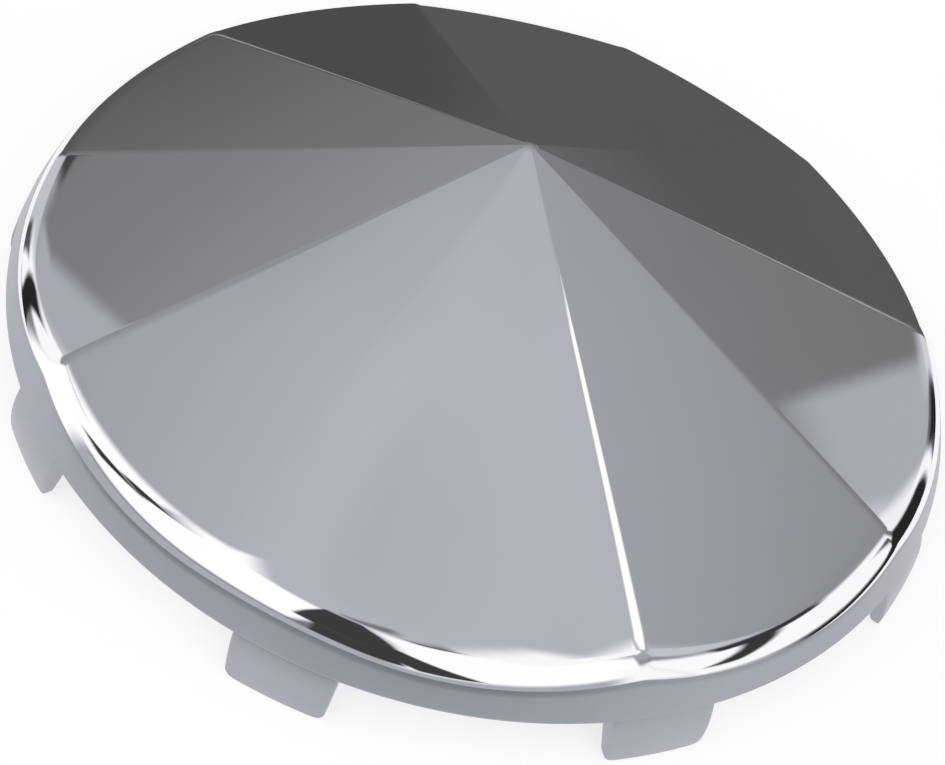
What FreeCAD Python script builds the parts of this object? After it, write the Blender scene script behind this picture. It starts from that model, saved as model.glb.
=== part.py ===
import FreeCAD, Part
import math
import os

# Hubcap, one moulding: a shallow five-ridged pyramid for a face, a rolled rim,
# a short drafted skirt and a ring of snap tabs under the skirt.
# The axis is Z, the face looks up and the tips of the tabs stand on z = 0.
# Lengths are in millimetres and angles in degrees.

# skirt and rim
skirt_radius = 108.0      # outside of the skirt at its lower edge
skirt_draft = 29.6        # flare of the skirt, narrower towards the face
shoulder_height = 9.6      # skirt edge up to where a ridge would meet the skirt
rim_roll = 9.0            # outside radius of the rolled rim
wall = 2.5                # thickness of the shell
skirt_edge_round = 0.5    # rounding of the skirt's lower outside edge

# face
ridge_count = 5           # sharp ridges, with a soft crease between each pair
ridge_tilt = 15.6         # fall of a ridge from the tip
crease_tilt = 15.9        # fall of a soft crease from the tip
ridge_band = 3.2          # width of the rounded ridge near the rim
crease_band = 2.4         # width of the rounded crease near the rim

# snap tabs
tab_count = 10
tab_length = 10.0         # skirt edge down to the tips
tab_tip_lean = 3.0        # lean of a tab's outside at its tip, where it is steepest
tab_width = 20.0          # at the skirt edge
tab_side_draft = 2.5      # each side leans in towards the tip
tab_corner = 2.0          # rounding of the two lower corners
tab_setback = 0.15        # outside of a tab behind the outside of the skirt
tab_root = 4.0            # thickness at the skirt edge, along the radius
tab_tip = 1.4             # thickness at the tip, along the radius
tab_overlap = 4.0         # how far a tab runs up inside the skirt
tab_edge_round = 0.45     # rounding of the tab's edges
tab_turn = 2.8            # turn of the tabs against the ridges

Vector = FreeCAD.Vector
up = Vector(0, 0, 1)
centre = Vector(0, 0, 0)
draft = math.tan(math.radians(skirt_draft))
ridge_fall = math.tan(math.radians(ridge_tilt))
crease_fall = math.tan(math.radians(crease_tilt))
half_step = math.pi / ridge_count
front = -math.pi / 2

# Heights that follow from the sizes.
skirt_edge = tab_length
shoulder = skirt_edge + shoulder_height
shoulder_radius = skirt_radius - shoulder_height * draft
tip_height = shoulder + shoulder_radius * ridge_fall

# Every facet has the same steepness, which sets how far the inner tip drops.
side_fall = (crease_fall - ridge_fall * math.cos(half_step)) / math.sin(half_step)
facet_fall = math.hypot(ridge_fall, side_fall)
inner_tip = tip_height - wall * math.hypot(1.0, facet_fall)
inner_radius = skirt_radius - wall * math.hypot(1.0, draft)


def pyramid(tip, floor, grow):
    # Facets from the tip to a rounded polygon on the floor. The corner arcs
    # make each ridge a thin cone that starts from nothing at the tip.
    drop = tip - floor
    points = []
    for i in range(2 * ridge_count):
        fall = ridge_fall if i % 2 == 0 else crease_fall
        angle = front + i * half_step
        reach = drop / fall
        points.append(Vector(reach * math.cos(angle), reach * math.sin(angle), floor))
    corners = []
    for i in range(len(points)):
        here = points[i]
        before = points[i - 1] - here
        after = points[(i + 1) % len(points)] - here
        before.normalize()
        after.normalize()
        half = before.getAngle(after) / 2
        band = ridge_band if i % 2 == 0 else crease_band
        band = band * grow * drop / (shoulder_radius * ridge_fall)
        back = band / 2 / math.sin(half)
        inward = before + after
        inward.normalize()
        depth = back / math.cos(half) - back * math.tan(half)
        corners.append((here + before * back, here + inward * depth, here + after * back))
    edges = []
    for i in range(len(corners)):
        start, middle, end = corners[i]
        edges.append(Part.Arc(start, middle, end).toShape())
        edges.append(Part.makeLine(end, corners[(i + 1) % len(corners)][0]))
    return Part.makeLoft([Part.Vertex(Vector(0, 0, tip)), Part.Wire(edges)], True, True)


def bowl(tip, radius, floor, roll, grow):
    # The pyramid trimmed by the drafted skirt, with the edge between them rolled over.
    height = tip - floor
    skirt = Part.makeCone(radius, radius - height * draft, height, Vector(0, 0, floor))
    block = pyramid(tip, floor, grow).common(skirt).Solids[0]
    edges = []
    for edge in block.Edges:
        faces = block.ancestorsOfType(edge, Part.Face)
        on_skirt = [f for f in faces if f.Surface.TypeId == "Part::GeomCone"]
        if on_skirt and len(faces) == 2 and edge.BoundBox.ZMin > floor + 0.001:
            other = [f for f in faces if f.Surface.TypeId != "Part::GeomCone"]
            if other:
                edges.append(edge)
    return block.makeFillet(roll, edges).Solids[0]


def lower_edge(block, floor):
    edges = []
    for edge in block.Edges:
        if abs(edge.BoundBox.ZMax - floor) < 0.001:
            edges.append(edge)
    return edges


def tab_bend(share):
    # Place on the tab's outside: an arc that carries on the skirt's flare and turns
    # down to the lean at the tip. The share runs from skirt edge to tip.
    start = math.radians(skirt_draft)
    turn = share * (start - math.radians(tab_tip_lean))
    radius = tab_length / (math.sin(start) - math.sin(math.radians(tab_tip_lean)))
    outwards = radius * (math.cos(start - turn) - math.cos(start))
    down = radius * (math.sin(start) - math.sin(start - turn))
    return Vector(skirt_radius - tab_setback + outwards, 0, skirt_edge - down)


def tab_blank():
    # Section through the tab, swung round the axis of the cap. The ring of tips is
    # wider than the skirt, and the root is a thick heel inside the skirt.
    edge_out = tab_bend(0.0)
    tip_out = tab_bend(1.0)
    rise = Vector(-tab_overlap * draft, 0, tab_overlap)
    edge_in = edge_out - Vector(tab_root, 0, 0)
    tip_in = tip_out - Vector(tab_tip, 0, 0)
    edges = [
        Part.makeLine(edge_out + rise, edge_out),
        Part.Arc(edge_out, tab_bend(0.5), tip_out).toShape(),
        Part.makeLine(tip_out, tip_in),
        Part.makeLine(tip_in, edge_in),
        Part.makeLine(edge_in, edge_in + rise),
        Part.makeLine(edge_in + rise, edge_out + rise),
    ]
    section = Part.Face(Part.Wire(edges))
    swing = math.degrees(1.3 * tab_width / skirt_radius)
    section.rotate(centre, up, -swing / 2)
    return section.revolve(centre, up, swing)


def tab_outline():
    # Outline of the tab seen from outside: leaning sides, rounded lower corners.
    root_top = skirt_edge + tab_overlap
    lean = math.tan(math.radians(tab_side_draft))
    half_low = tab_width / 2 - tab_length * lean
    half_top = tab_width / 2 + tab_overlap * lean
    reach = tab_bend(1.0).x + 5.0
    start = skirt_radius - tab_setback - tab_root - tab_overlap * draft - 5.0
    corners = [
        Vector(start, -half_low, 0),
        Vector(start, half_low, 0),
        Vector(start, half_top, root_top),
        Vector(start, -half_top, root_top),
        Vector(start, -half_low, 0),
    ]
    face = Part.Face(Part.makePolygon(corners))
    prism = face.extrude(Vector(reach - start, 0, 0))
    edges = []
    for edge in prism.Edges:
        box = edge.BoundBox
        if box.XLength > 1.0 and box.ZMax < 0.001:
            edges.append(edge)
    return prism.makeFillet(tab_corner, edges)


def tab():
    piece = tab_blank().common(tab_outline()).Solids[0]
    edges = []
    for edge in piece.Edges:
        if edge.BoundBox.ZMin < skirt_edge + tab_overlap - 0.01:
            faces = piece.ancestorsOfType(edge, Part.Face)
            if len(faces) == 2 and sharp(edge, faces):
                edges.append(edge)
    return piece.makeFillet(tab_edge_round, edges)


def sharp(edge, faces):
    # True where two faces meet at a clear angle half-way along the edge.
    place = edge.valueAt((edge.FirstParameter + edge.LastParameter) / 2)
    normals = []
    for face in faces:
        u, v = face.Surface.parameter(place)
        normals.append(face.normalAt(u, v))
    return normals[0].getAngle(normals[1]) > math.radians(30)


outside = bowl(tip_height, skirt_radius, skirt_edge, rim_roll, 1.0)
outside = outside.makeFillet(skirt_edge_round, lower_edge(outside, skirt_edge))
hollow = bowl(inner_tip, inner_radius, skirt_edge, rim_roll - wall, 0.5)
shell = outside.cut(hollow)

one_tab = tab()
tabs = []
for i in range(tab_count):
    copy = one_tab.copy()
    copy.rotate(centre, up, math.degrees(front) + tab_turn + i * 360.0 / tab_count)
    tabs.append(copy)
hubcap = shell.fuse(tabs).removeSplitter()

os.makedirs("parts", exist_ok=True)
hubcap.Solids[0].exportStep("parts/hubcap.step")
print("solids", len(hubcap.Solids), "valid", hubcap.isValid(), "faces", len(hubcap.Faces))
print("volume", round(hubcap.Volume / 1000.0, 1), "cm3", hubcap.BoundBox)
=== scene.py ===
import math

import bpy
from mathutils import Matrix, Vector


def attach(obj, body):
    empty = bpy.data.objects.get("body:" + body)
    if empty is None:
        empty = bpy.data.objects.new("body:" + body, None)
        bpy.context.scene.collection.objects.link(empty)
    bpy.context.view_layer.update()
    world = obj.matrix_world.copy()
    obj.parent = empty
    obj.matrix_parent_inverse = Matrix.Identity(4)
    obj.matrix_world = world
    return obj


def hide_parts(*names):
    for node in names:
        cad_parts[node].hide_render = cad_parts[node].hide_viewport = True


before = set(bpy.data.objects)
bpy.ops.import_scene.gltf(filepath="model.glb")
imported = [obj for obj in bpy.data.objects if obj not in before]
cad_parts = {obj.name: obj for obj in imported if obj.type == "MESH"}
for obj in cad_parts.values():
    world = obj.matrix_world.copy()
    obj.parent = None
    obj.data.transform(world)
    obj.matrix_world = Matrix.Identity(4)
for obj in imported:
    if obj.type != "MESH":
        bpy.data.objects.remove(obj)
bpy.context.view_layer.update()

# The hubcap's shell: face, rolled rim and skirt. One moulding in ABS plastic about
# 2.5 mm thick, plated all over. The axis is Z, the face looks up, and sizes are metres.
skirt_radius = 0.108
skirt_draft = math.tan(math.radians(29.6))
skirt_edge = 0.010
shoulder_height = 0.0096
rim_roll = 0.009
wall = 0.0025
edge_round = 0.0005
lip_round = 0.0003
ease_radius = 0.08
ease_turn = math.radians(2.0)
ridges = 5
half_step = math.pi / ridges
first_ridge = -math.pi / 2
ridge_fall = math.tan(math.radians(15.6))
crease_fall = math.tan(math.radians(15.9))
side_fall = (crease_fall - ridge_fall * math.cos(half_step)) / math.sin(half_step)
crease_side = ridge_fall * math.sin(half_step) - side_fall * math.cos(half_step)
shoulder_radius = skirt_radius - shoulder_height * skirt_draft
tip = skirt_edge + shoulder_height + shoulder_radius * ridge_fall
inner_tip = tip - wall * math.hypot(1.0, math.hypot(ridge_fall, side_fall))
inner_radius = skirt_radius - wall * math.hypot(1.0, skirt_draft)
# Widths of the rounded ridges and creases at the rim, as angles seen from the axis.
ridge_band = 0.0034 / shoulder_radius
crease_band = 0.0024 / shoulder_radius
washed_band = 0.030 / shoulder_radius
# How finely the mesh is cut, down the section and round the ring.
facet_shares = (0.0, 0.02, 0.1, 0.2, 0.3, 0.4, 0.5, 0.6, 0.7, 0.8, 0.9, 0.95, 0.985)
ease_steps = 5
roll_steps = 28
inner_roll_steps = 12
skirt_shares = (0.1, 0.4, 0.7, 0.95)
edge_steps = 6
lip_steps = 4
facet_steps = 24
ridge_steps = 5
# The roll is bright chrome over this many of its steps. The plating below it is satin,
# with a dark base tone that is painted shade for the grey surroundings it mirrors, as the table
# looks white to metal.
bright_steps = 22


def soft_abs(x, band):
    # A rounded ridge in section: straight flanks with an even bend between them.
    if abs(x) > band / 2:
        return abs(x)
    return x * x / band + band / 4


def fall(angle):
    # Steepness of the face in this direction. Flat facets, each edge rounded over. The
    # crease next to the front ridge, on its left, is washed out as on the real cap.
    turn = (angle - first_ridge) % (2 * half_step)
    from_ridge = turn if turn < half_step else turn - 2 * half_step
    if abs(from_ridge) < half_step / 2:
        side = soft_abs(math.sin(from_ridge), ridge_band)
        return ridge_fall * math.cos(from_ridge) + side_fall * side
    from_crease = abs(from_ridge) - half_step
    from_left_crease = (angle - first_ridge + half_step + math.pi) % math.tau - math.pi
    band = washed_band if abs(from_left_crease) < half_step / 2 else crease_band
    side = soft_abs(math.sin(from_crease), band)
    return crease_fall * math.cos(from_crease) + crease_side * side


def arc(centre, radius, start, end, steps):
    # Points of an arc with their outward normals, both ends included.
    points = []
    for i in range(steps + 1):
        a = start + (end - start) * i / steps
        c = math.cos(a)
        s = math.sin(a)
        points.append((centre[0] + radius * c, centre[1] + radius * s, c, s))
    return points


def surface(angle, top, radius, roll, steps):
    # From the tip down a facet and over the roll to the start of the skirt. The facet
    # eases into the roll on a wide arc.
    steep = fall(angle)
    facet_normal = math.atan2(1.0, steep)
    roll_start = facet_normal - ease_turn
    # Centre of the roll: inside both the facet and the skirt by what the arcs need.
    back = ease_radius - roll
    facet_drop = (ease_radius - back * math.cos(ease_turn)) * math.hypot(1.0, steep)
    skirt_in = roll * math.hypot(1.0, skirt_draft)
    reach = radius + skirt_draft * (skirt_edge - top + facet_drop) - skirt_in
    r = reach / (1.0 - skirt_draft * steep)
    z = top - facet_drop - steep * r
    ease = (r - back * math.cos(roll_start), z - back * math.sin(roll_start))
    over = arc(ease, ease_radius, facet_normal, roll_start, ease_steps)
    over += arc((r, z), roll, roll_start, math.atan(skirt_draft), steps)[1:]
    points = []
    for share in facet_shares:
        at = share * over[0][0]
        points.append((at, top - steep * at, math.cos(facet_normal), math.sin(facet_normal)))
    return points + over


def profile(angle):
    # Whole section in one direction: outside, lower edge, and back up inside.
    outer = surface(angle, tip, skirt_radius, rim_roll, roll_steps)
    inner = surface(angle, inner_tip, inner_radius, rim_roll - wall, inner_roll_steps)
    lean = math.atan(skirt_draft)
    edge_in = edge_round * (math.hypot(1.0, skirt_draft) + skirt_draft)
    edge = (skirt_radius - edge_in, skirt_edge + edge_round)
    lower = arc(edge, edge_round, lean, -math.pi / 2, edge_steps)
    above = outer[-1]
    for share in skirt_shares:
        r = above[0] + (lower[0][0] - above[0]) * share
        z = above[1] + (lower[0][1] - above[1]) * share
        outer.append((r, z, above[2], above[3]))
    lip = (inner_radius + lip_round, skirt_edge + lip_round)
    turn = arc(lip, lip_round, -math.pi / 2, -math.pi + lean, lip_steps)
    back = [(r, z, -nr, -nz) for r, z, nr, nz in reversed(inner)]
    return outer + lower + turn + back


def ring_angles():
    # Even steps, with more of them across each ridge and crease.
    angles = []
    for i in range(2 * ridges):
        band = ridge_band if i % 2 == 0 else crease_band
        middle = first_ridge + i * half_step
        for k in range(-ridge_steps, ridge_steps + 1):
            angles.append(middle + k * band / (2 * ridge_steps))
        other = crease_band if i % 2 == 0 else ridge_band
        start = middle + band / 2
        end = middle + half_step - other / 2
        for k in range(1, facet_steps):
            angles.append(start + (end - start) * k / facet_steps)
    return angles


def shell_mesh():
    # The sections of all directions joined into one skin, with the true normals, and
    # the row down the section that each face belongs to.
    verts = []
    normals = []
    step = 1e-5
    angles = ring_angles()
    rows = len(profile(0.0))
    for angle in angles:
        here = profile(angle)
        ahead = profile(angle + step)
        behind = profile(angle - step)
        c = math.cos(angle)
        s = math.sin(angle)
        for (r, z, nr, nz), a, b in zip(here, ahead, behind):
            verts.append(Vector((r * c, r * s, z)))
            # The normal leans sideways by how fast the section changes round the ring.
            side = 0.0
            if r > 0.0:
                side = -(nr * (a[0] - b[0]) + nz * (a[1] - b[1])) / (2 * step * r)
            normals.append(Vector((nr * c - side * s, nr * s + side * c, nz)).normalized())
    faces = []
    face_rows = []
    count = len(angles)
    for i in range(count):
        here = i * rows
        there = (i + 1) % count * rows
        for j in range(rows - 1):
            face_rows.append(j)
            if j == 0:
                faces.append((0, here + 1, there + 1))
            elif j == rows - 2:
                faces.append((here + j, rows - 1, there + j))
            else:
                faces.append((here + j, here + j + 1, there + j + 1, there + j))
    normals[0] = Vector((0.0, 0.0, 1.0))
    normals[rows - 1] = Vector((0.0, 0.0, -1.0))
    # The tip and the inner tip are one point each.
    spare = set()
    for i in range(1, count):
        spare.add(i * rows)
        spare.add(i * rows + rows - 1)
    number = {}
    kept = []
    kept_normals = []
    for i in range(len(verts)):
        if i not in spare:
            number[i] = len(kept)
            kept.append(verts[i])
            kept_normals.append(normals[i])
    mesh = bpy.data.meshes.new("shell")
    mesh.from_pydata(kept, [], [[number[v] for v in face] for face in faces])
    mesh.validate()
    for polygon in mesh.polygons:
        polygon.use_smooth = True
    mesh.normals_split_custom_set_from_vertices(kept_normals)
    return mesh, face_rows


shell_shape, face_rows = shell_mesh()
shell = bpy.data.objects.new("hubcap_shell", shell_shape)
bpy.context.scene.collection.objects.link(shell)
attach(shell, "root")
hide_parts("hubcap")


def node(tree, kind, **settings):
    made = tree.nodes.new(kind)
    for name, value in settings.items():
        setattr(made, name, value)
    return made


def plating(name, low, high, rough_low, rough_high, wave):
    # Plating over moulded plastic: a clean metal with slight changes of tone and
    # polish, and the faint unevenness of a moulding.
    material = bpy.data.materials.new(name)
    material.use_nodes = True
    tree = material.node_tree
    shader = tree.nodes["Principled BSDF"]
    shader.inputs["Metallic"].default_value = 1.0
    place = node(tree, "ShaderNodeTexCoord")
    noise = node(tree, "ShaderNodeTexNoise")
    noise.inputs["Scale"].default_value = 18.0
    noise.inputs["Detail"].default_value = 3.0
    tree.links.new(place.outputs["Object"], noise.inputs["Vector"])
    tone = node(tree, "ShaderNodeValToRGB")
    tone.color_ramp.elements[0].position = 0.35
    tone.color_ramp.elements[1].position = 0.65
    tone.color_ramp.elements[0].color = (*low, 1.0)
    tone.color_ramp.elements[1].color = (*high, 1.0)
    tree.links.new(noise.outputs["Fac"], tone.inputs["Fac"])
    tree.links.new(tone.outputs["Color"], shader.inputs["Base Color"])
    polish = node(tree, "ShaderNodeMapRange")
    polish.inputs["To Min"].default_value = rough_low
    polish.inputs["To Max"].default_value = rough_high
    tree.links.new(noise.outputs["Fac"], polish.inputs["Value"])
    tree.links.new(polish.outputs["Result"], shader.inputs["Roughness"])
    ripple = node(tree, "ShaderNodeTexNoise")
    ripple.inputs["Scale"].default_value = 40.0
    ripple.inputs["Detail"].default_value = 1.0
    tree.links.new(place.outputs["Object"], ripple.inputs["Vector"])
    bump = node(tree, "ShaderNodeBump")
    bump.inputs["Strength"].default_value = wave
    bump.inputs["Distance"].default_value = 0.0002
    tree.links.new(ripple.outputs["Fac"], bump.inputs["Height"])
    tree.links.new(bump.outputs["Normal"], shader.inputs["Normal"])
    return material


chrome = plating("bright_chrome", (0.875, 0.88, 0.9), (0.905, 0.91, 0.93), 0.015, 0.035, 0.04)
# Satin plating for the skirt and tabs: a duller polish, and a dark base tone that is painted shade
# for the grey surroundings they mirror.
satin_painted_dark = plating("satin_plating_painted_dark", (0.375, 0.39, 0.425), (0.415, 0.43, 0.465), 0.28, 0.34, 0.1)
shell.data.materials.append(chrome)
shell.data.materials.append(satin_painted_dark)
# Faces below the bright rows of the roll get the satin plating with its painted dark tone.
satin_painted_dark_row = len(facet_shares) + ease_steps + bright_steps
for polygon, row in zip(shell.data.polygons, face_rows):
    if row >= satin_painted_dark_row:
        polygon.material_index = 1

# The ten snap tabs, of the same moulding as the shell and plated with it in the satin
# plating, whose dark base tone is painted shade. Each is a short tongue that carries on
# the skirt's flare, thinner at its tip, with its root moulded into the inside of the skirt.
tab_count = 10
tab_length = 0.010
tab_width = 0.020
tab_side_draft = math.radians(2.5)
tab_corner = 0.002
tab_setback = 0.0002
tab_root = 0.004
tab_tip = 0.0014
tab_tip_lean = math.radians(3.0)
tab_overlap = 0.004
tab_round = 0.00045
tab_sink = 0.1
tab_turn = math.radians(2.8)
tab_start = math.atan(skirt_draft)
tab_bend = tab_length / (math.sin(tab_start) - math.sin(tab_tip_lean))
tab_shares = (0.0, 0.2, 0.32, 0.44, 0.56, 0.68, 0.8, 0.9)
corner_steps = 8
round_steps = 4
tab_across = 14


def tab_outside(z):
    # Radius of the tab's outside: an arc that carries on the skirt's flare and turns
    # down. Above the skirt's edge it leans in more than the skirt and sinks into it.
    if z > skirt_edge:
        return skirt_radius - tab_setback - (z - skirt_edge) * (skirt_draft + tab_sink)
    lean = math.asin(math.sin(tab_start) - (skirt_edge - z) / tab_bend)
    return skirt_radius - tab_setback + tab_bend * (math.cos(lean) - math.cos(tab_start))


def tab_inside(z):
    # Radius of the tab's inside: straight from the thick root to the thin tip.
    root = tab_outside(skirt_edge) - tab_root
    if z > skirt_edge:
        return root - (z - skirt_edge) * skirt_draft
    return root + (tab_outside(0.0) - tab_tip - root) * (skirt_edge - z) / tab_length


def tab_side(inset):
    # Right half of the tab's outline from the top down, as half widths and heights,
    # drawn in by the inset. The lower corner is an arc.
    lean = tab_side_draft
    top = skirt_edge + tab_overlap
    half = tab_width / 2 - inset / math.cos(lean)
    radius = tab_corner - inset
    foot = half - (skirt_edge - inset) * math.tan(lean)
    reach = radius * math.tan((math.pi / 2 - lean) / 2)
    low = inset + radius * (1 + math.sin(lean))
    points = []
    for share in tab_shares:
        z = top + (low - top) * share
        points.append((half - (skirt_edge - z) * math.tan(lean), z))
    for k in range(corner_steps + 1):
        a = -lean - (math.pi / 2 - lean) * k / corner_steps
        points.append((foot - reach + radius * math.cos(a), inset + radius + radius * math.sin(a)))
    return points


def tab_place(angle, u, z, share):
    # From across, height and share of the thickness to a point on the ring.
    r = tab_outside(z) + (tab_inside(z) - tab_outside(z)) * share
    turn = angle + math.asin(u / r)
    return (r * math.cos(turn), r * math.sin(turn), z)


def tab_layers():
    # Inset, depth from the outside and depth from the inside of each layer of points,
    # round the tab's outer edge and then round its inner edge.
    outer = []
    inner = []
    for k in range(round_steps + 1):
        a = math.pi / 2 * k / round_steps
        inset = tab_round * (1 - math.sin(a))
        depth = tab_round * (1 - math.cos(a))
        outer.append((inset, depth, None))
        inner.append((inset, None, depth))
    return outer + inner[::-1]


def tab_mesh(angle):
    # A closed skin of layers, at its own place on the ring.
    verts = []
    faces = []
    grids = []
    for inset, front, behind in tab_layers():
        grid = []
        for half, z in tab_side(inset):
            thick = tab_outside(z) - tab_inside(z)
            share = front / thick if front is not None else 1 - behind / thick
            row = []
            for k in range(tab_across + 1):
                row.append(len(verts))
                verts.append(tab_place(angle, half * (2 * k / tab_across - 1), z, share))
            grid.append(row)
        grids.append(grid)
    rows = len(grids[0])
    for grid, flip in ((grids[0], False), (grids[-1], True)):
        for i in range(rows - 1):
            for k in range(tab_across):
                face = (grid[i][k], grid[i + 1][k], grid[i + 1][k + 1], grid[i][k + 1])
                faces.append(face[::-1] if flip else face)
    for one, two in zip(grids, grids[1:]):
        for i in range(rows - 1):
            faces.append((one[i][0], two[i][0], two[i + 1][0], one[i + 1][0]))
            faces.append((one[i + 1][-1], two[i + 1][-1], two[i][-1], one[i][-1]))
        for k in range(tab_across):
            faces.append((one[-1][k], two[-1][k], two[-1][k + 1], one[-1][k + 1]))
            faces.append((one[0][k + 1], two[0][k + 1], two[0][k], one[0][k]))
    used = sorted({v for face in faces for v in face})
    number = {v: i for i, v in enumerate(used)}
    mesh = bpy.data.meshes.new("tab")
    mesh.from_pydata([verts[v] for v in used], [], [[number[v] for v in face] for face in faces])
    mesh.validate()
    for polygon in mesh.polygons:
        polygon.use_smooth = True
    return mesh


for i in range(tab_count):
    tab_shape = tab_mesh(first_ridge + tab_turn + i * math.tau / tab_count)
    tab_shape.materials.append(satin_painted_dark)
    tab = bpy.data.objects.new("hubcap_tab_%d" % (i + 1), tab_shape)
    bpy.context.scene.collection.objects.link(tab)
    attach(tab, "root")
    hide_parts("hubcap")

# A round white table top under the cap. Light Path lifts its brightness to white for
# the camera and for metal, and the cap's shadow stays in the part that is lit.
table_radius = 0.33
table_height = -0.0001
table_sides = 96
table_shade = 0.5
table_lift = 0.7
table_mesh = bpy.data.meshes.new("table_top")
rim = []
for k in range(table_sides):
    a = math.tau * k / table_sides
    rim.append((table_radius * math.cos(a), table_radius * math.sin(a), table_height))
table_mesh.from_pydata(rim, [], [list(range(table_sides))])
table = bpy.data.objects.new("table_top", table_mesh)
bpy.context.scene.collection.objects.link(table)
paper = bpy.data.materials.new("white_table")
paper.use_nodes = True
tree = paper.node_tree
tree.nodes.clear()
lit = node(tree, "ShaderNodeBsdfDiffuse")
lit.inputs["Color"].default_value = (table_shade, table_shade, table_shade, 1.0)
path = node(tree, "ShaderNodeLightPath")
seen = node(tree, "ShaderNodeMath", operation="MAXIMUM")
tree.links.new(path.outputs["Is Camera Ray"], seen.inputs[0])
tree.links.new(path.outputs["Is Glossy Ray"], seen.inputs[1])
through = node(tree, "ShaderNodeMath", operation="MAXIMUM")
tree.links.new(seen.outputs[0], through.inputs[0])
tree.links.new(path.outputs["Is Transmission Ray"], through.inputs[1])
amount = node(tree, "ShaderNodeMath", operation="MULTIPLY")
amount.inputs[1].default_value = table_lift
tree.links.new(through.outputs[0], amount.inputs[0])
glow = node(tree, "ShaderNodeEmission")
tree.links.new(amount.outputs[0], glow.inputs["Strength"])
both = node(tree, "ShaderNodeAddShader")
end = node(tree, "ShaderNodeOutputMaterial")
tree.links.new(lit.outputs[0], both.inputs[0])
tree.links.new(glow.outputs[0], both.inputs[1])
tree.links.new(both.outputs[0], end.inputs["Surface"])
table_mesh.materials.append(paper)

# The room: a grey ceiling that darkens towards the far wall, white paper walls on the
# near side, and the dark things between them that chrome shows as black shapes.
world = bpy.data.worlds.new("room")
bpy.context.scene.world = world
world.use_nodes = True
tree = world.node_tree
tree.nodes.clear()


def calc(operation, *values):
    # One step of arithmetic on plain numbers or other nodes' results.
    made = node(tree, "ShaderNodeMath", operation=operation)
    for socket, value in zip(made.inputs, values):
        if isinstance(value, (int, float)):
            socket.default_value = value
        else:
            tree.links.new(value, socket)
    return made.outputs[0]


def within(distance, half, soft):
    # 1 where the distance is under half, 0 above it, with a soft step between.
    step = node(tree, "ShaderNodeMapRange", interpolation_type="SMOOTHSTEP")
    step.inputs["From Min"].default_value = half + soft
    step.inputs["From Max"].default_value = half - soft
    tree.links.new(distance, step.inputs["Value"])
    return step.outputs[0]


def panel(under, bright, side, height, half_side, half_height, lean=0.0, soft=3.0, soft_height=3.0):
    # Lays a panel of this brightness over the room. Side and height are the angles to
    # its middle in degrees, and lean is how far it moves sideways per degree of height.
    up_from = calc("SUBTRACT", elevation, height)
    shift = calc("MULTIPLY_ADD", up_from, lean, side)
    off = calc("WRAP", calc("SUBTRACT", azimuth, shift), 180.0, -180.0)
    wide = within(calc("ABSOLUTE", off), half_side, soft)
    tall = within(calc("ABSOLUTE", up_from), half_height, soft_height)
    cover = calc("MULTIPLY", wide, tall)
    return calc("MULTIPLY_ADD", calc("SUBTRACT", bright, under), cover, under)


where = node(tree, "ShaderNodeTexCoord")
axes = node(tree, "ShaderNodeSeparateXYZ")
tree.links.new(where.outputs["Generated"], axes.inputs[0])
azimuth = calc("DEGREES", calc("ARCTAN2", axes.outputs["Y"], axes.outputs["X"]))
elevation = calc("DEGREES", calc("ARCSINE", axes.outputs["Z"]))

share = node(tree, "ShaderNodeMapRange")
share.inputs["From Min"].default_value = -90.0
share.inputs["From Max"].default_value = 90.0
tree.links.new(elevation, share.inputs["Value"])
far_side = node(tree, "ShaderNodeValToRGB")
ramp = far_side.color_ramp
# Height in degrees above the horizon, and the room's own brightness there.
levels = (
    (-40, 0.11),
    (-6, 0.1),
    (12, 0.105),
    (20, 0.182),
    (34, 0.232),
    (45, 0.33),
    (60, 0.43),
    (70, 0.5),
    (80, 0.52),
    (90, 0.48),
)
while len(ramp.elements) < len(levels):
    ramp.elements.new(0.5)
for element, (height, bright) in zip(ramp.elements, levels):
    element.position = (height + 90) / 180
    element.color = (bright, bright, bright, 1.0)
tree.links.new(share.outputs[0], far_side.inputs["Fac"])
light = far_side.outputs["Color"]

# A grey field low down on the near side, the white paper walls on the left and in
# front, and the white cloths high up between the front wall and the long lamp.
light = panel(light, 0.46, -125, -8, 90, 32, soft=8)
light = panel(light, 1.12, -165, 50, 39, 23, lean=0.3, soft=2, soft_height=3)
light = panel(light, 1.12, 165, 60, 13, 9, lean=1.0, soft=2, soft_height=3)
light = panel(light, 1.12, 161, 16, 13, 34, soft=3, soft_height=2)
light = panel(light, 1.12, -84, 49, 23, 27, lean=0.1, soft=3, soft_height=4)
light = panel(light, 1.05, -62, 70, 12, 7, soft=4, soft_height=2)
light = panel(light, 1.05, -43, 66, 9, 6, soft=4, soft_height=2)
# The long lamp that the front ridge shows as a white line, with grey cloths beside it.
light = panel(light, 1.12, -2, 63.5, 26, 5.5, soft=4, soft_height=1.5)
light = panel(light, 0.42, -46, 52, 7, 5, soft=3)
light = panel(light, 0.6, -26, 48, 10, 6, soft=3)
# The low white wall on the right, and the pale cloth at its far end.
light = panel(light, 1.05, -30, 22, 24, 17, soft=3)
light = panel(light, 1.05, -62, 22, 9, 16, soft=3, soft_height=6)
light = panel(light, 0.45, 12, 24, 6.5, 5, soft=0.7, soft_height=2)
light = panel(light, 0.95, 6, 22, 5, 6, soft=1.5, soft_height=2)
# The pale cloth and white boards far back on the left.
light = panel(light, 0.45, 128, 34, 6.5, 6, soft=0.7, soft_height=2)
light = panel(light, 0.6, 124, 7, 6, 20, soft=2)
light = panel(light, 1.05, 139, 25, 10, 12, soft=3)
light = panel(light, 1.05, 136, 8, 3, 14, soft=1)
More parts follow.
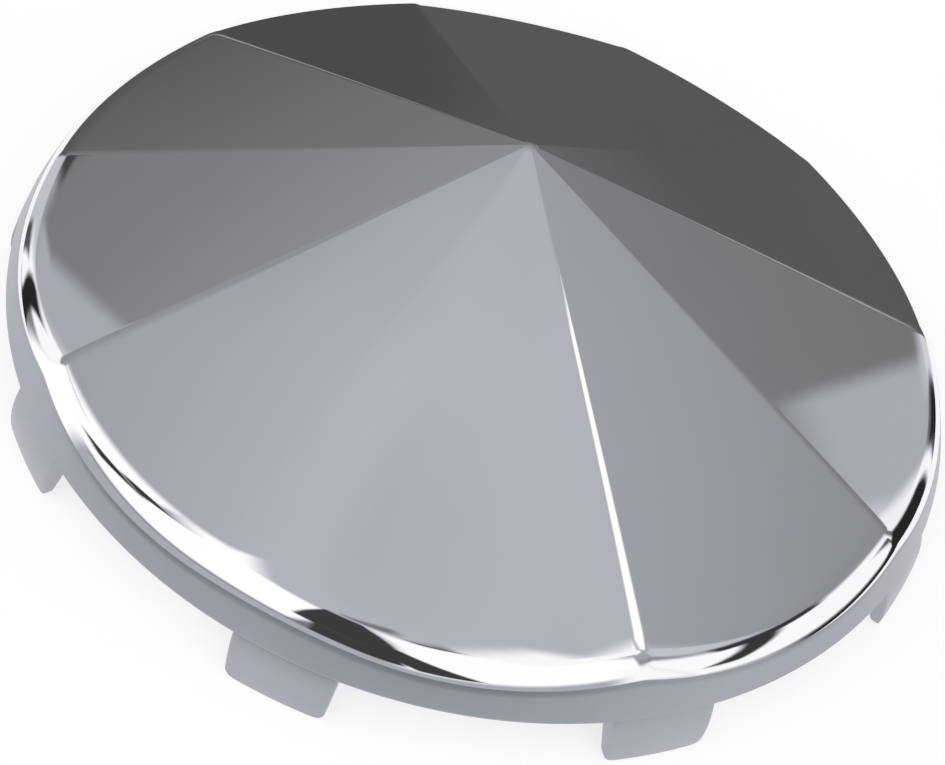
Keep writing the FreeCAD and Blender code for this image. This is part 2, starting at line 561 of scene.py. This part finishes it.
# Two thin light shelves on the far wall, and a soft patch of light on the ceiling.
light = panel(light, 0.45, 38, 18.3, 14, 1.2, soft=3, soft_height=0.6)
light = panel(light, 0.4, 87, 10, 9, 1, soft=3, soft_height=0.6)
light = panel(light, 0.31, 106, 53, 18, 7, soft=9, soft_height=5)
# The dark things in front of them: first the camera with its stand and cloth.
light = panel(light, 0.05, -120.5, 59, 13.5, 18, soft=1, soft_height=2)
light = panel(light, 0.05, -118, 33, 10, 9, soft=1, soft_height=1)
light = panel(light, 0.05, -106, 38, 6, 14.5, lean=-0.43, soft=1, soft_height=1)
# Two thin dark gaps high up, and the dark bars across the right wall.
light = panel(light, 0.15, -82, 77, 8, 1.5, soft=3, soft_height=1)
light = panel(light, 0.2, -105, 80.3, 18, 0.6, soft=4, soft_height=0.5)
light = panel(light, 0.04, -33.5, 29, 3.5, 13, lean=0.95, soft=1.5, soft_height=2)
light = panel(light, 0.04, -22.5, 39.5, 9.5, 2.5, lean=0.8, soft=1.5, soft_height=1)
# The black stand on the right, with two bright slits in it.
light = panel(light, 0.02, -14, -7, 14, 8.5, lean=-0.65, soft=1.5, soft_height=1)
light = panel(light, 0.02, -4, 5, 10, 11, lean=0.3, soft=1)
light = panel(light, 0.1, -10.5, 21, 1.5, 7, soft=1)
light = panel(light, 1.0, 7, 3, 1.5, 19, lean=0.15, soft=1)
light = panel(light, 0.02, 12.5, -2, 2.5, 14, soft=1)
light = panel(light, 0.7, 18, 3, 2, 17, soft=1)
# Small dark things far back, and the black stands on the left.
light = panel(light, 0.06, 116.5, 27, 2, 2, soft=1, soft_height=1)
light = panel(light, 0.075, 83, 1, 8, 7, soft=4)
light = panel(light, 0.02, 139.5, 8, 3, 19, lean=-0.33, soft=1)
light = panel(light, 0.02, 138, -10, 3, 7, soft=1)
light = panel(light, 0.08, 130, -4, 1.5, 13, soft=1)
light = panel(light, 0.04, 165, 57, 3, 5.5, lean=-0.9, soft=1)
light = panel(light, 0.04, 170.3, 45, 2.8, 7, soft=1)

# The middle greys are a little cool, the darkest and the lightest are neutral.
cast = node(tree, "ShaderNodeValToRGB")
cool = (0.95, 0.985, 1.04, 1.0)
dark = (0.985, 1.0, 0.99, 1.0)
white = (1.0, 1.0, 1.0, 1.0)
casts = ((0.1, dark), (0.3, cool), (0.6, cool), (0.95, white))
while len(cast.color_ramp.elements) < len(casts):
    cast.color_ramp.elements.new(0.5)
for element, (bright, color) in zip(cast.color_ramp.elements, casts):
    element.position = bright
    element.color = color
tree.links.new(light, cast.inputs["Fac"])
tint = node(tree, "ShaderNodeVectorMath", operation="SCALE")
tree.links.new(cast.outputs["Color"], tint.inputs[0])
tree.links.new(light, tint.inputs["Scale"])
glow = node(tree, "ShaderNodeBackground")
tree.links.new(tint.outputs[0], glow.inputs["Color"])
end = node(tree, "ShaderNodeOutputWorld")
tree.links.new(glow.outputs[0], end.inputs["Surface"])

bpy.context.scene.view_settings.view_transform = "Standard"

# The camera, at the photograph's place and angle. Its place was measured from the
# middle of the skirt's lower edge.
eye = Vector((-0.08056, -0.16432, 0.16839 + skirt_edge))
right = Vector((0.97110, -0.17943, 0.15736))
up = Vector((0.03426, 0.75734, 0.65212))
lens = bpy.data.cameras.new("camera")
camera = bpy.data.objects.new("camera", lens)
bpy.context.scene.collection.objects.link(camera)
back = right.cross(up)
turn = Matrix((right, up, back)).transposed()
camera.matrix_world = Matrix.Translation(eye) @ turn.to_4x4()
lens.sensor_width = 36.0
lens.lens = 39.85
lens.shift_x = 0.0819
lens.shift_y = -0.0377
lens.clip_start = 0.01
lens.clip_end = 20.0
bpy.context.scene.camera = camera
